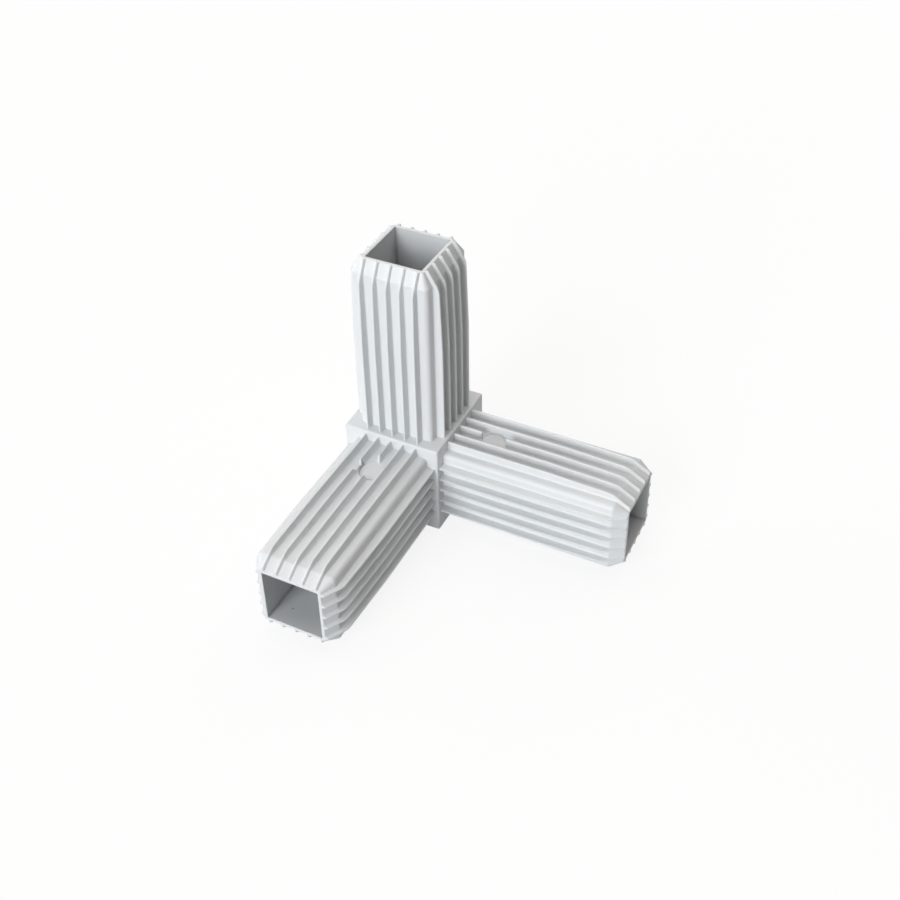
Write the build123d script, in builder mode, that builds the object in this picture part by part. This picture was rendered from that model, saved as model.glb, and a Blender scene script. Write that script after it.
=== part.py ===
"""Three way corner connector for square tube: one moulded piece.

A plain cube carries three hollow, ribbed spigots at right angles to each other.
Each spigot is pushed into the end of a square tube, and the cube fills the corner.

Frame, in millimetres: the origin is the centre of the cube's bottom face, +Z is up.
One spigot points up (+Z), one points to the front (-Y) and one to the side (+X).
"""

import os

from build123d import *

# Spigots: the core inside the ribs
spigot_length = 46.0
core_width = 19.3
core_corner_radius = 1.1
rim_width = 15.6  # outside of the core at the open end
rim_corner_radius = 0.5

# Bores
bore_width = 14.1
bore_corner_radius = 0.3
bore_web = 3.0  # left between the blind end of a bore and the bores beside it

# Ribs, the same set on all four sides of each spigot
rib_count = 5
rib_pitch = 3.35
rib_root_thickness = 0.85
rib_crest_thickness = 0.5
rib_span = 23.3  # across the crests of two opposite sides, a push fit in the tube
rib_parallel_length = 25.0  # from the cube to where the crests start to draw in

# Cube
shoulder = 0.85  # the ledge around each spigot, which the end of the tube stops against
cube_side = rib_span + 2 * shoulder  # the same as the outside of the tube
cube_edge_radius = 0.4

# Lead-in at the open end: the crests slope towards the axis, and a little later the core does
nose_length = 4.4
core_nose_length = 3.3
nose_span = 22.3  # across the crests where the lead-in starts
nose_radius = 3.5  # rounds the crests into the lead-in
rib_rim_span = 17.3  # across the crests at the open end

# Ejector marks on top of the front and side spigots, where the middle rib is left out
mark_distance = 9.0  # from the cube to the middle of the mark
mark_gap = 6.5  # length of the middle rib that is left out
mark_diameter = 5.8
mark_depth = 0.2

# Broken rib on top of the front spigot, beside the mark: distances from the cube
break_start = 8.6
break_floor_start = 8.9
break_floor_end = 11.1
break_end = 12.6
break_floor_height = 0.4  # what is left of the rib above the core

# Planes that the spigots stand on, each with its Z axis along the spigot
half_side = cube_side / 2
top_seat = Plane(origin=(0, 0, cube_side), x_dir=(1, 0, 0), z_dir=(0, 0, 1))
front_seat = Plane(origin=(0, -half_side, half_side), x_dir=(1, 0, 0), z_dir=(0, -1, 0))
side_seat = Plane(origin=(half_side, 0, half_side), x_dir=(0, 1, 0), z_dir=(1, 0, 0))
seats = (top_seat, front_seat, side_seat)

nose_start = spigot_length - nose_length
core_nose_start = spigot_length - core_nose_length

# Envelope that trims the crests: drawn in gently, then a rounded lead-in
draw_in = (rib_span - nose_span) / (nose_start - rib_parallel_length)
envelope_foot_span = nose_span + draw_in * nose_start

with BuildPart() as crest_envelope:
    with BuildSketch(Plane.XY):
        Rectangle(envelope_foot_span, envelope_foot_span)
    with BuildSketch(Plane.XY.offset(nose_start)):
        Rectangle(nose_span, nose_span)
    with BuildSketch(Plane.XY.offset(spigot_length)):
        Rectangle(rib_rim_span, rib_rim_span)
    loft(ruled=True)
    shoulder_edges = edges().filter_by(Plane.XY).group_by(Axis.Z)[1]
    fillet(shoulder_edges, radius=nose_radius)

# Ribs: plates that run right across the core, each thinner towards its two crests
with BuildPart() as ribs:
    with BuildSketch(Plane.XY):
        with PolarLocations(0, 2, angular_range=180, endpoint=False):
            with GridLocations(0, rib_pitch, 1, rib_count):
                Polygon(
                    (rib_span / 2, rib_crest_thickness / 2),
                    (core_width / 2, rib_root_thickness / 2),
                    (-core_width / 2, rib_root_thickness / 2),
                    (-rib_span / 2, rib_crest_thickness / 2),
                    (-rib_span / 2, -rib_crest_thickness / 2),
                    (-core_width / 2, -rib_root_thickness / 2),
                    (core_width / 2, -rib_root_thickness / 2),
                    (rib_span / 2, -rib_crest_thickness / 2),
                )
    extrude(amount=spigot_length)
    add(crest_envelope.part, mode=Mode.INTERSECT)

# One spigot, standing on the XY plane
with BuildPart() as spigot:
    with BuildSketch(Plane.XY):
        RectangleRounded(core_width, core_width, core_corner_radius)
    extrude(amount=core_nose_start)
    with BuildSketch(Plane.XY.offset(core_nose_start)):
        RectangleRounded(core_width, core_width, core_corner_radius)
    with BuildSketch(Plane.XY.offset(spigot_length)):
        RectangleRounded(rim_width, rim_width, rim_corner_radius)
    loft(ruled=True)
    add(ribs.part)

bore_depth = spigot_length + half_side - bore_width / 2 - bore_web

with BuildPart() as corner_connector:
    Box(cube_side, cube_side, cube_side, align=(Align.CENTER, Align.CENTER, Align.MIN))
    fillet(corner_connector.edges(), radius=cube_edge_radius)
    with Locations(*[seat.location for seat in seats]):
        add(spigot.part)
    for seat in seats:
        with BuildSketch(seat.offset(spigot_length)):
            RectangleRounded(bore_width, bore_width, bore_corner_radius)
        extrude(amount=-bore_depth, mode=Mode.SUBTRACT)
    for seat in (front_seat, side_seat):
        # The gap in the middle rib, cut down to the core, and the round mark in the core
        core_top = Plane(
            origin=seat.origin + seat.z_dir * mark_distance + Vector(0, 0, core_width / 2),
            x_dir=seat.z_dir,
            z_dir=(0, 0, 1),
        )
        with BuildSketch(core_top):
            Rectangle(mark_gap, rib_pitch)
        extrude(amount=rib_span - core_width, mode=Mode.SUBTRACT)
        with BuildSketch(core_top):
            Circle(mark_diameter / 2)
        extrude(amount=-mark_depth, mode=Mode.SUBTRACT)
    # The break in the rib next to the middle one, seen from the side
    core_face = core_width / 2
    rib_side = Plane(
        origin=front_seat.origin - front_seat.x_dir * rib_pitch,
        x_dir=front_seat.z_dir,
        z_dir=-front_seat.x_dir,
    )
    with BuildSketch(rib_side):
        Polygon(
            (break_start, half_side),
            (break_floor_start, core_face + break_floor_height),
            (break_floor_end, core_face + break_floor_height),
            (break_end, rib_span / 2),
            (break_end, half_side),
            align=None,
        )
    extrude(amount=rib_pitch / 2, both=True, mode=Mode.SUBTRACT)

corner_connector.part.label = "corner_connector"

os.makedirs("parts", exist_ok=True)
export_step(corner_connector.part, "parts/corner_connector.step")
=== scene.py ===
"""Looks of the three way corner connector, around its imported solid. Metres, +Z up.

The connector is one piece of moulded plastic, so one mesh stands for its one CAD node. The mesh has
the finish that the plain solid leaves out: rounded crests and roots on the ribs, a softened open
end, and the ragged edges of a torn rib. The size of the cube and the length of the spigots come
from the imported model.
"""

import math

import bmesh
import bpy
from mathutils import Matrix, Vector


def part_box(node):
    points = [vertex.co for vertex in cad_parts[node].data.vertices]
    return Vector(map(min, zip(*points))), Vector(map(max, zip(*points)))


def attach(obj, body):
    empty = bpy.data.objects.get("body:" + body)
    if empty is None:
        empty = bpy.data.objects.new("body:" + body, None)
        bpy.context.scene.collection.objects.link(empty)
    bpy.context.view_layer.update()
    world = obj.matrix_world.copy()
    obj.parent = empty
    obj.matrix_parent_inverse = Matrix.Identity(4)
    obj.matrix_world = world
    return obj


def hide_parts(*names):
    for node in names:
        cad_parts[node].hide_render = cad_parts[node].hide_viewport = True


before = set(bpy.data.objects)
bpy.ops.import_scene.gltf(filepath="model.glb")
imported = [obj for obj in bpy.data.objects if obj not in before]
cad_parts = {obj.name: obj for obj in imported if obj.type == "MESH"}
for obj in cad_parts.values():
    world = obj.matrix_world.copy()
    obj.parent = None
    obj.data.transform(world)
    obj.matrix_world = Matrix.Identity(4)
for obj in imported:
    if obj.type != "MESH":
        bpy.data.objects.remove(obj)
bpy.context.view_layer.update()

mm = 0.001

# Cube, with the origin in the middle of its underside
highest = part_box("corner_connector")[1]
cube_half = highest.y
cube_side = 2 * cube_half
cube_edge_radius = 0.4 * mm

# Spigots, which start a little inside the cube
spigot_length = highest.z - cube_side
spigot_foot = -0.5 * mm

# Core of a spigot, as distances from its axis. It narrows along its nose, at the open end.
core_half = 9.65 * mm
core_corner_radius = 1.1 * mm
core_nose_length = 3.3 * mm
core_nose_start = spigot_length - core_nose_length
core_bend_radius = 1.0 * mm
rim_half = 7.8 * mm
rim_corner_radius = 0.45 * mm
rim_edge_radius = 0.14 * mm

# Ribs, across
rib_count = 5
rib_pitch = 3.35 * mm
rib_root_half = 0.425 * mm
rib_crest_half = 0.25 * mm
root_fillet = 0.25 * mm
rim_root_fillet = 0.1 * mm

# Crests of the ribs, as distances from the axis. They draw in gently, then slope along the nose.
crest_half = 11.65 * mm
nose_crest = 11.15 * mm
rim_crest = 8.65 * mm
draw_in_start = 25.0 * mm
draw_in_radius = 60.0 * mm
nose_length = 4.4 * mm
nose_start = spigot_length - nose_length
nose_radius = 4.0 * mm

# Bores
bore_half = 7.05 * mm
bore_corner_radius = 0.3 * mm
bore_web = 3.0 * mm  # left between the blind end of a bore and the bores beside it
bore_mouth_chamfer = 0.1 * mm

# Ejector marks, on the upper sides of two spigots: round, shallow and deeper towards the open end
mark_distances = {"front": 9.35 * mm, "side": 9.0 * mm}  # from the cube
mark_radius = 2.9 * mm
mark_depth = 0.22 * mm  # in the middle
mark_slant = 0.18 * mm  # how much more or less that is at the two ends
mark_clearance = 0.3 * mm  # how far above the core the cut for a mark starts


def in_metres(points):
    return [(first * mm, second * mm) for first, second in points]


# What is left of a rib where it is cut or torn: (distance from the cube, height above the core)
clean_gap = in_metres(((5.75, 2.00), (5.87, 0.00), (12.13, 0.00), (12.25, 2.00)))
worn_gap = in_metres((
    (5.60, 2.00),
    (5.80, 1.45),
    (6.20, 0.00),
    (12.45, 0.00),
    (12.60, 1.10),
    (12.90, 1.60),
    (13.50, 2.00),
))
tear = in_metres((
    (8.62, 2.00),
    (8.74, 1.40),
    (8.86, 0.95),
    (8.98, 0.42),
    (9.40, 0.30),
    (9.80, 0.52),
    (10.20, 0.44),
    (10.60, 0.22),
    (11.00, 0.34),
    (11.30, 0.80),
    (11.65, 1.22),
    (12.00, 1.30),
    (12.30, 1.78),
    (12.70, 2.00),
))

# Where these are, on the upper side: (spigot, rib), with the ribs counted from the middle one
# towards local -X
broken_ribs = {("front", 0): worn_gap, ("front", 1): tear, ("side", 0): clean_gap}

# The crack beside the tear: (height above the core, distance from the cube), and its local X range
crack_outline = in_metres(((0.00, 8.00), (0.00, 8.40), (1.45, 8.55), (1.45, 8.30)))
crack_range = (-3.65 * mm, -2.80 * mm)

# Steps that round stretches are drawn in
fillet_steps = 3
crest_steps = 4
corner_steps = 5
bend_steps = 6
rim_steps = 3
mark_steps = 48
cube_edge_steps = 3

# Sections along a spigot. Around a bend they are close together: (its place, their reach around it)
bends = ((draw_in_start, 1.0 * mm), (nose_start, 1.1 * mm), (core_nose_start, 0.3 * mm))
plain_step = 4.0 * mm  # between the plain sections, elsewhere
plain_clearance = plain_step / 4  # a plain section closer than this to another is left out
least_step = 0.02 * mm  # and so is any section closer than this to the one before

merge_distance = 0.001 * mm  # corners closer than this are merged after the cuts
sharp_angle = 35  # degrees between faces, past which their edge is shaded sharp

# Where each spigot stands: its seat on the cube, its local X axis, and Z, which runs along it. On the
# front and side spigots, local Y points up.
spigots = {
    "top": (Vector((0, 0, cube_side)), Vector((1, 0, 0)), Vector((0, 0, 1))),
    "front": (Vector((0, -cube_half, cube_half)), Vector((1, 0, 0)), Vector((0, -1, 0))),
    "side": (Vector((cube_half, 0, cube_half)), Vector((0, 1, 0)), Vector((1, 0, 0))),
}

# Which way out each of the four sides of a spigot faces: (x, y). The second is the upper side.
side_directions = ((1, 0), (0, 1), (-1, 0), (0, -1))
upper_side = 1


def seat_matrix(name):
    origin, x_axis, z_axis = spigots[name]
    rotation = Matrix((x_axis, z_axis.cross(x_axis), z_axis)).transposed()
    return Matrix.Translation(origin) @ rotation.to_4x4()


def mark_matrix(name):
    """The middle of an ejector mark, in the upper face of the core."""
    return seat_matrix(name) @ Matrix.Translation((0, core_half, mark_distances[name]))


def quarter_turns(steps):
    """Angles from 0 to a right angle."""
    return [step / steps * math.pi / 2 for step in range(steps + 1)]


def bend(z, at, value, slope_before, slope_after, radius):
    """A straight line that turns to another slope at one place, rounded to about this radius."""
    reach = radius * math.tan(abs(math.atan(slope_after) - math.atan(slope_before)) / 2)
    if z <= at - reach:
        return value + slope_before * (z - at)
    if z >= at + reach:
        return value + slope_after * (z - at)
    run = z - at + reach
    start = value - slope_before * reach
    return start + slope_before * run + (slope_after - slope_before) * run * run / (4 * reach)


def core_at(z):
    """Distance from the axis of a spigot to the face of its core."""
    slope = (rim_half - core_half) / (spigot_length - core_nose_start)
    return bend(z, core_nose_start, core_half, 0.0, slope, core_bend_radius)


def crest_at(z):
    """Distance from the axis of a spigot to the crest of a whole rib."""
    draw_in = (nose_crest - crest_half) / (nose_start - draw_in_start)
    lead_in = (rim_crest - nose_crest) / (spigot_length - nose_start)
    if z < (draw_in_start + nose_start) / 2:
        return bend(z, draw_in_start, crest_half, 0.0, draw_in, draw_in_radius)
    return bend(z, nose_start, nose_crest, draw_in, lead_in, nose_radius)


def through_nose(z, before, after):
    """A size that changes evenly along the nose of the core."""
    share = min(1.0, max(0.0, (z - core_nose_start) / (spigot_length - core_nose_start)))
    return before + share * (after - before)


def rib_crest(name, side, rib, z):
    """Distance from the axis to the crest of one rib, which is lower where the rib is cut or torn."""
    crest = crest_at(z)
    broken = broken_ribs.get((name, rib), ()) if side == upper_side else ()
    for (z0, height0), (z1, height1) in zip(broken, broken[1:]):
        if z0 <= z <= z1:
            return min(crest, core_at(z) + height0 + (height1 - height0) * (z - z0) / (z1 - z0))
    return crest


def rib_outline(core, crest, fillet, inset):
    """(out, along) points over one rib: root, flank, round crest and back down."""
    crest_radius = rib_crest_half - inset
    squeeze = min(1.0, (crest - core) / (fillet + crest_radius))
    half = []
    for turn in quarter_turns(fillet_steps):
        out = core + fillet * squeeze * (1 - math.cos(turn))
        half.append((out, rib_root_half - inset + fillet * (1 - math.sin(turn))))
    for turn in quarter_turns(crest_steps):
        out = crest - crest_radius * squeeze * (1 - math.sin(turn))
        half.append((out, crest_radius * math.cos(turn)))
    return [(out, -along) for out, along in half] + half[-2::-1]


def section(name, z, inset):
    """Outline of a spigot across its axis at one height, as (x, y) points."""
    core = core_at(z) - inset
    corner = through_nose(z, core_corner_radius, rim_corner_radius)
    fillet = through_nose(z, root_fillet, rim_root_fillet)
    points = []
    for side, (cosine, sine) in enumerate(side_directions):
        outline = []
        for rib in range(-(rib_count // 2), rib_count // 2 + 1):
            crest = max(rib_crest(name, side, rib, z) - inset, core)
            for out, along in rib_outline(core, crest, fillet, inset):
                outline.append((out, rib * rib_pitch + along))
        for turn in quarter_turns(corner_steps):
            centre = core - corner
            outline.append((centre + corner * math.cos(turn), centre + corner * math.sin(turn)))
        points += [(cosine * out - sine * along, sine * out + cosine * along) for out, along in outline]
    return points


def stations(name):
    """(height, inset) of each section of a spigot, closer together where its shape changes."""
    heights = {spigot_foot}
    for at, reach in bends:
        heights |= {at + reach * (2 * step / bend_steps - 1) for step in range(bend_steps + 1)}
    for (spigot, _), broken in broken_ribs.items():
        if spigot == name:
            heights |= {z for z, _ in broken}
    count = math.ceil(spigot_length / plain_step)
    for step in range(count):
        z = step * spigot_length / count
        if min(abs(z - other) for other in heights) > plain_clearance:
            heights.add(z)
    rows = []
    for z in sorted(heights):
        if not rows or z - rows[-1][0] > least_step:
            rows.append((z, 0.0))
    for turn in quarter_turns(rim_steps):
        z = spigot_length - rim_edge_radius + rim_edge_radius * math.sin(turn)
        rows.append((z, rim_edge_radius * (1 - math.cos(turn))))
    return rows


def add_loft(mesh, place, loops):
    """Adds a closed solid through loops of points that have the same number of points."""
    rings = [[mesh.verts.new(place @ Vector(point)) for point in loop] for loop in loops]
    for lower, upper in zip(rings, rings[1:]):
        for i in range(len(lower)):
            j = (i + 1) % len(lower)
            mesh.faces.new((lower[i], lower[j], upper[j], upper[i]))
    mesh.faces.new(rings[0][::-1])
    mesh.faces.new(rings[-1])


def add_spigot(mesh, name):
    loops = []
    for z, inset in stations(name):
        loops.append([(x, y, z) for x, y in section(name, z, inset)])
    add_loft(mesh, seat_matrix(name), loops)


def rounded_square(half, radius):
    points = []
    for quarter in range(4):
        for turn in quarter_turns(corner_steps):
            angle = turn + quarter * math.pi / 2
            corner = Vector((half - radius, half - radius))
            corner.rotate(Matrix.Rotation(quarter * math.pi / 2, 2))
            points.append((corner.x + radius * math.cos(angle), corner.y + radius * math.sin(angle)))
    return points


def add_bore(mesh, name):
    """The hollow of a spigot, with a fine chamfer at its mouth that runs on past the rim."""
    rows = (
        (bore_half + bore_web - cube_half, bore_half),
        (spigot_length - bore_mouth_chamfer, bore_half),
        (spigot_length + bore_mouth_chamfer, bore_half + 2 * bore_mouth_chamfer),
    )
    loops = []
    for z, half in rows:
        loops.append([(x, y, z) for x, y in rounded_square(half, bore_corner_radius)])
    add_loft(mesh, seat_matrix(name), loops)


def add_mark(mesh, name):
    angles = [2 * math.pi * step / mark_steps for step in range(mark_steps)]
    circle = [(mark_radius * math.cos(angle), mark_radius * math.sin(angle)) for angle in angles]
    top = [(x, mark_clearance, z) for x, z in circle]
    base = [(x, -mark_depth - mark_slant * z / mark_radius, z) for x, z in circle]
    add_loft(mesh, mark_matrix(name), (top, base))


def add_crack(mesh):
    place = seat_matrix("front") @ Matrix.Translation((0, core_half, 0))
    add_loft(mesh, place, [[(x, height, z) for height, z in crack_outline] for x in crack_range])


def add_cube(mesh):
    bmesh.ops.create_cube(mesh, size=cube_side, matrix=Matrix.Translation((0, 0, cube_half)))
    bmesh.ops.bevel(
        mesh,
        geom=list(mesh.edges),
        offset=cube_edge_radius,
        offset_type="OFFSET",
        segments=cube_edge_steps,
        profile=0.5,
        affect="EDGES",
    )


def add_spigots(mesh):
    for name in spigots:
        add_spigot(mesh, name)


def add_cutters(mesh):
    for name in spigots:
        add_bore(mesh, name)
    for name in mark_distances:
        add_mark(mesh, name)


def mesh_object(name, build):
    mesh = bmesh.new()
    build(mesh)
    bmesh.ops.recalc_face_normals(mesh, faces=mesh.faces)
    data = bpy.data.meshes.new(name)
    mesh.to_mesh(data)
    mesh.free()
    made = bpy.data.objects.new(name, data)
    bpy.context.scene.collection.objects.link(made)
    return made


def combine(body, tool, operation):
    """Joins the tool to the body, or cuts it out, and removes the tool."""
    change = body.modifiers.new(operation, "BOOLEAN")
    change.object = tool
    change.operation = operation
    change.solver = "EXACT"
    shaped = bpy.data.meshes.new_from_object(body.evaluated_get(bpy.context.evaluated_depsgraph_get()))
    body.modifiers.clear()
    body.data = shaped
    bpy.data.objects.remove(tool)


def merge_close(body):
    """Merges corners that the cuts left on top of each other, and drops faces without area."""
    mesh = bmesh.new()
    mesh.from_mesh(body.data)
    bmesh.ops.remove_doubles(mesh, verts=mesh.verts, dist=merge_distance)
    bmesh.ops.dissolve_degenerate(mesh, edges=mesh.edges, dist=merge_distance)
    mesh.to_mesh(body.data)
    mesh.free()


connector = mesh_object("connector", add_cube)
combine(connector, mesh_object("spigots", add_spigots), "UNION")
combine(connector, mesh_object("cutters", add_cutters), "DIFFERENCE")
combine(connector, mesh_object("crack", add_crack), "DIFFERENCE")
merge_close(connector)
connector.data.shade_smooth()
connector.data.set_sharp_from_angle(angle=math.radians(sharp_angle))
flat_faces = connector.modifiers.new("flat_faces", "WEIGHTED_NORMAL")
flat_faces.keep_sharp = True

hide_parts("corner_connector")
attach(connector, "root")


# Shader nodes

def add_node(tree, kind, inputs, **settings):
    """Adds a node. Each input gets a number, place or colour, or is linked to a node's output."""
    node = tree.nodes.new(kind)
    for name, value in settings.items():
        setattr(node, name, value)
    for name, value in inputs.items():
        if isinstance(value, bpy.types.NodeSocket):
            tree.links.new(value, node.inputs[name])
        else:
            node.inputs[name].default_value = value
    return node


def calculate(tree, operation, *values):
    """A math node over two values, or a chain of them over more."""
    result = values[0]
    for value in values[1:]:
        node = add_node(tree, "ShaderNodeMath", {0: result, 1: value}, operation=operation)
        result = node.outputs["Value"]
    return result


def vector_math(tree, operation, *vectors):
    """The outputs of a vector math node: Value for a distance or a dot product, otherwise Vector."""
    node = add_node(tree, "ShaderNodeVectorMath", dict(enumerate(vectors)), operation=operation)
    return node.outputs


def split(tree, vector):
    return add_node(tree, "ShaderNodeSeparateXYZ", {"Vector": vector}).outputs


def ramp(tree, value, start, end, at_start, at_end):
    """A smooth change between two results while a value goes from start to end."""
    inputs = {"Value": value, "From Min": start, "From Max": end, "To Min": at_start, "To Max": at_end}
    node = add_node(tree, "ShaderNodeMapRange", inputs, interpolation_type="SMOOTHSTEP")
    return node.outputs["Result"]


def noise(tree, place, scale, detail):
    inputs = {"Vector": place, "Scale": scale, "Detail": detail}
    return add_node(tree, "ShaderNodeTexNoise", inputs).outputs["Fac"]


# Moulded plastic, with faint clouds of tone and gloss, and a fine grain
darker_plastic = (0.690, 0.706, 0.716, 1)
lighter_plastic = (0.714, 0.728, 0.736, 1)
plastic_ior = 1.5
least_roughness = 0.38
most_roughness = 0.52
cloud_scale = 90
cloud_detail = 3
grain_scale = 3500
grain_detail = 2
grain_height = 0.02 * mm
grain_strength = 0.25

# Painted shade in the bores: their colour is darkened a little where shade falls inside them, and most
# of all in their corners
painted_bore_shade_tone = 0.88
painted_corner_shade_tone = 0.68
corner_reach = 0.95 * mm  # how far from a corner it starts to darken
wall_margin = 0.06 * mm  # counts the wall itself as inside the bore

# Painted shadow along the edge of each ejector mark, where the mark's wall shades the floor beside it:
# the side of the mark that the shadow lies on, and its tone
painted_mark_shadows = {"front": ((-0.7, -0.7, 0), 0.55), "side": ((-0.7, 0.7, 0), 0.80)}
mark_shadow_radius = 3.0 * mm
mark_shadow_width = 0.22 * mm  # to both sides of that radius, fading from half way
mark_shadow_height = 0.45 * mm  # above the core, fading from half way

# A dark speck on the floor of the front bore
speck_place = (-3.4 * mm, -53.9 * mm, cube_half - bore_half)
speck_radius = 0.3 * mm
speck_tone = 0.4


def painted_bore_shade(tree, place):
    """1 outside, and in a bore the painted shade that darkens its colour, most near its corners."""
    from_middle = vector_math(tree, "SUBTRACT", place, (0, 0, cube_half))["Vector"]
    x, y, z = split(tree, from_middle)
    along = calculate(tree, "MAXIMUM", x, calculate(tree, "MULTIPLY", y, -1), z)
    distances = split(tree, vector_math(tree, "ABSOLUTE", from_middle)["Vector"])
    least = calculate(tree, "MINIMUM", *distances)
    most = calculate(tree, "MAXIMUM", *distances)
    middle = calculate(tree, "SUBTRACT", calculate(tree, "ADD", *distances), least, most)
    deep = calculate(tree, "GREATER_THAN", along, bore_half + bore_web - wall_margin)
    narrow = calculate(tree, "LESS_THAN", middle, bore_half + wall_margin)
    # painted shade, darker towards the corners of the bore
    tone = ramp(tree, least, bore_half - corner_reach, bore_half, painted_bore_shade_tone, painted_corner_shade_tone)
    darker = calculate(tree, "MULTIPLY", deep, narrow, calculate(tree, "SUBTRACT", tone, 1))
    return calculate(tree, "ADD", darker, 1)


def painted_mark_shadow(tree, place, name):
    """1 outside the painted shadow along the edge of an ejector mark, and the tone of that painted
    shadow in it.
    """
    centre = mark_matrix(name).translation
    shadowed_side, shadow_tone = painted_mark_shadows[name]
    distance = vector_math(tree, "DISTANCE", place, centre)["Value"]
    off = calculate(tree, "ABSOLUTE", calculate(tree, "SUBTRACT", distance, mark_shadow_radius), 0)
    # painted shadow: a thin dark ring round the mark, only on its shadowed side and close to the core
    ring = ramp(tree, off, mark_shadow_width / 2, mark_shadow_width, 1, 0)
    from_centre = vector_math(tree, "SUBTRACT", place, centre)["Vector"]
    towards = vector_math(tree, "DOT_PRODUCT", from_centre, shadowed_side)["Value"]
    strength = ramp(tree, towards, 0, mark_radius / 2, 0, 1 - shadow_tone)
    height = split(tree, from_centre)["Z"]
    low = ramp(tree, height, mark_shadow_height / 2, mark_shadow_height, 1, 0)
    return calculate(tree, "SUBTRACT", 1, calculate(tree, "MULTIPLY", ring, strength, low))


def speck_shade(tree, place):
    distance = vector_math(tree, "DISTANCE", place, speck_place)["Value"]
    return ramp(tree, distance, speck_radius / 2, speck_radius, speck_tone, 1)


def moulded_plastic():
    material = bpy.data.materials.new("moulded_plastic")
    material.use_nodes = True
    tree = material.node_tree
    place = add_node(tree, "ShaderNodeTexCoord", {}).outputs["Object"]

    cloud = noise(tree, place, cloud_scale, cloud_detail)
    inputs = {"Factor": cloud, "A": darker_plastic, "B": lighter_plastic}
    plastic = add_node(tree, "ShaderNodeMix", inputs, data_type="RGBA").outputs["Result"]
    # The plastic's colour darkened by painted shade in the bores and painted shadow at the ejector
    # marks, and by the real dark speck
    painted_shade_and_speck = [painted_bore_shade(tree, place)]
    painted_shade_and_speck += [painted_mark_shadow(tree, place, name) for name in painted_mark_shadows]
    painted_shade_and_speck.append(speck_shade(tree, place))
    inputs = {0: plastic, "Scale": calculate(tree, "MULTIPLY", *painted_shade_and_speck)}
    shaded = add_node(tree, "ShaderNodeVectorMath", inputs, operation="SCALE")

    inputs = {"Value": cloud, "To Min": least_roughness, "To Max": most_roughness}
    roughness = add_node(tree, "ShaderNodeMapRange", inputs)

    grain = noise(tree, place, grain_scale, grain_detail)
    inputs = {"Height": grain, "Strength": grain_strength, "Distance": grain_height}
    texture = add_node(tree, "ShaderNodeBump", inputs)

    surface = tree.nodes["Principled BSDF"].inputs
    surface["IOR"].default_value = plastic_ior
    tree.links.new(shaded.outputs["Vector"], surface["Base Color"])
    tree.links.new(roughness.outputs["Result"], surface["Roughness"])
    tree.links.new(texture.outputs["Normal"], surface["Normal"])
    return material


connector.data.materials.clear()
connector.data.materials.append(moulded_plastic())

# Floor and backdrop
floor_half = 4.0
floor_grey = (0.55, 0.55, 0.55, 1)  # its colour for the light that it throws back on the object
white = (1, 1, 1, 1)
floor_glow = 0.86  # the share of the floor that is seen as plain white; the rest shows the shadow


def shows_white(tree):
    """1 for rays that see the floor or the world straight on, in a reflection or through glass."""
    rays = add_node(tree, "ShaderNodeLightPath", {}).outputs
    kinds = ("Is Camera Ray", "Is Glossy Ray", "Is Transmission Ray")
    return calculate(tree, "MAXIMUM", *[rays[kind] for kind in kinds])


def floor_material():
    material = bpy.data.materials.new("floor")
    material.use_nodes = True
    tree = material.node_tree
    tree.nodes.remove(tree.nodes["Principled BSDF"])
    seen = shows_white(tree)
    inputs = {"Factor": seen, "A": floor_grey, "B": white}
    colour = add_node(tree, "ShaderNodeMix", inputs, data_type="RGBA").outputs["Result"]
    paint = add_node(tree, "ShaderNodeBsdfDiffuse", {"Color": colour})
    glow = add_node(tree, "ShaderNodeEmission", {"Color": white})
    share = calculate(tree, "MULTIPLY", seen, floor_glow)
    inputs = {0: share, 1: paint.outputs["BSDF"], 2: glow.outputs["Emission"]}
    mixed = add_node(tree, "ShaderNodeMixShader", inputs)
    tree.links.new(mixed.outputs["Shader"], tree.nodes["Material Output"].inputs["Surface"])
    return material


def add_floor(mesh):
    bmesh.ops.create_grid(mesh, x_segments=1, y_segments=1, size=floor_half)


floor = mesh_object("floor", add_floor)
floor.data.materials.append(floor_material())

world = bpy.data.worlds.new("studio")
bpy.context.scene.world = world
world.use_nodes = True
background = world.node_tree.nodes["Background"].inputs
background["Color"].default_value = white
world.node_tree.links.new(shows_white(world.node_tree), background["Strength"])

# Light
cool = (0.975, 1.0, 1.015)
warm = (1.04, 1.0, 0.955)


def soft_lamp(name, azimuth, elevation, spread, level, colour):
    """A broad soft light from far away, which shines along its azimuth and down by its elevation.

    An azimuth of 0 is along +Y. A level of 1 shows a white face that looks at the lamp as white.
    """
    lamp = bpy.data.lights.new(name, "SUN")
    lamp.angle = math.radians(spread)
    lamp.energy = level * math.pi
    lamp.color = colour
    made = bpy.data.objects.new(name, lamp)
    bpy.context.scene.collection.objects.link(made)
    made.rotation_euler = (math.radians(90 - elevation), 0, math.radians(azimuth))


soft_lamp("high_front_light", azimuth=-12, elevation=30, spread=30, level=0.42, colour=cool)
soft_lamp("low_front_light", azimuth=0, elevation=12, spread=30, level=0.475, colour=cool)
soft_lamp("left_light", azimuth=-90, elevation=8, spread=50, level=0.54, colour=cool)
soft_lamp("top_light", azimuth=180, elevation=65, spread=90, level=0.575, colour=warm)

# Camera, which looks along its azimuth and down by its elevation
camera_place = (0.11641, -0.20878, 0.21776)
camera_azimuth = math.radians(27.02)
camera_elevation = math.radians(37.0)
camera_roll = math.radians(-1.12)

camera_data = bpy.data.cameras.new("camera")
camera_data.sensor_width = 36
camera_data.lens = 50.09
camera_data.shift_y = -0.0931
camera = bpy.data.objects.new("camera", camera_data)
bpy.context.scene.collection.objects.link(camera)
camera.location = camera_place
aim = Matrix.Rotation(camera_azimuth, 3, "Z") @ Matrix.Rotation(math.pi / 2 - camera_elevation, 3, "X")
camera.rotation_euler = (aim @ Matrix.Rotation(camera_roll, 3, "Z")).to_euler()
bpy.context.scene.camera = camera

bpy.context.scene.view_settings.view_transform = "Standard"
